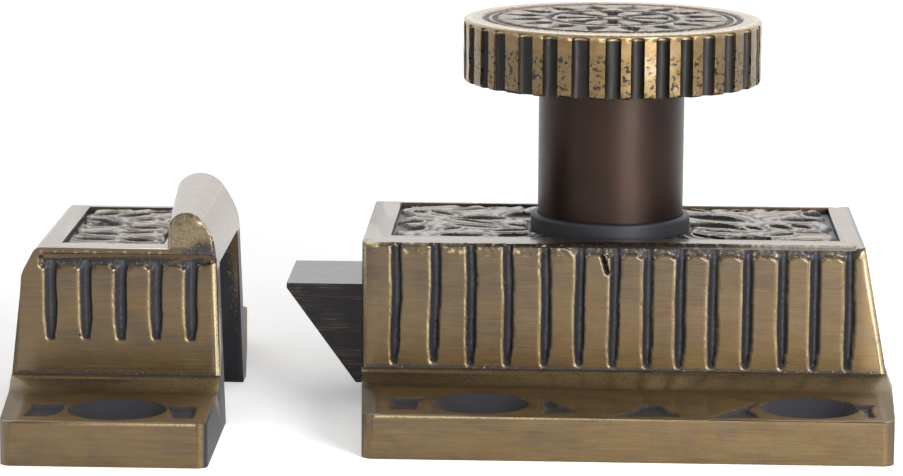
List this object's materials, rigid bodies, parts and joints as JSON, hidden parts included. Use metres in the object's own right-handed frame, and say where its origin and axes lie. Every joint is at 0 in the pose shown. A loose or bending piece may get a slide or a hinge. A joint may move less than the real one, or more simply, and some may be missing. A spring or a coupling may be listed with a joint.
{
  "type": "cupboard latch",
  "caption": "Cast cupboard latch with a fluted turn knob that draws back a bevelled spring bolt, beside the separate strike with a humped lip and open pocket that the bolt snaps under.",
  "frame": {"origin": "middle of the latch's rectangle of wood screws, on the mounting plane", "axes": "+X along the row from the strike to the latch, the way the bolt draws back; +Y from the front flange to the back flange; +Z out of the door along the knob's axis"},
  "size_m": [0.0892, 0.0655, 0.0402],
  "materials": {
    "antique_brass": "antique brass, brushed, dark in the recesses",
    "dark_bronze": "satin, darkened",
    "black_bolt": "blackened, satin",
    "plain_steel": "plain"
  },
  "bodies": {
    "housing": {"latch_case": "antique_brass", "back_plate": "plain_steel", "back_plate_screw_1": "plain_steel", "back_plate_screw_2": "plain_steel", "back_plate_screw_3": "plain_steel", "back_plate_screw_4": "plain_steel", "thrust_washer": "plain_steel", "bolt_spring": "plain_steel", "strike": "antique_brass"},
    "knob": {"knob_head": "antique_brass", "knob_shank": "dark_bronze", "turning_cam": "plain_steel", "cam_pin": "plain_steel"},
    "bolt": {"spring_bolt": "black_bolt"}
  },
  "joints": [
    {"name": "knob_turn", "type": "hinge", "parent": "housing", "child": "knob", "pos_m": [-0.0035, 0, 0.02], "axis": [0, 0, -1], "range_deg": [0, 64]},
    {"name": "bolt_slide", "type": "slide", "parent": "housing", "child": "bolt", "axis": [1, 0, 0], "range_m": [0, 0.00742], "stiffness_N_per_m": 200, "springref_m": -0.008, "deforming": ["bolt_spring"]}
  ],
  "couplings": [
    {"joint": "knob_turn", "follows": "bolt_slide", "rad_per_m": 150.54}
  ]
}
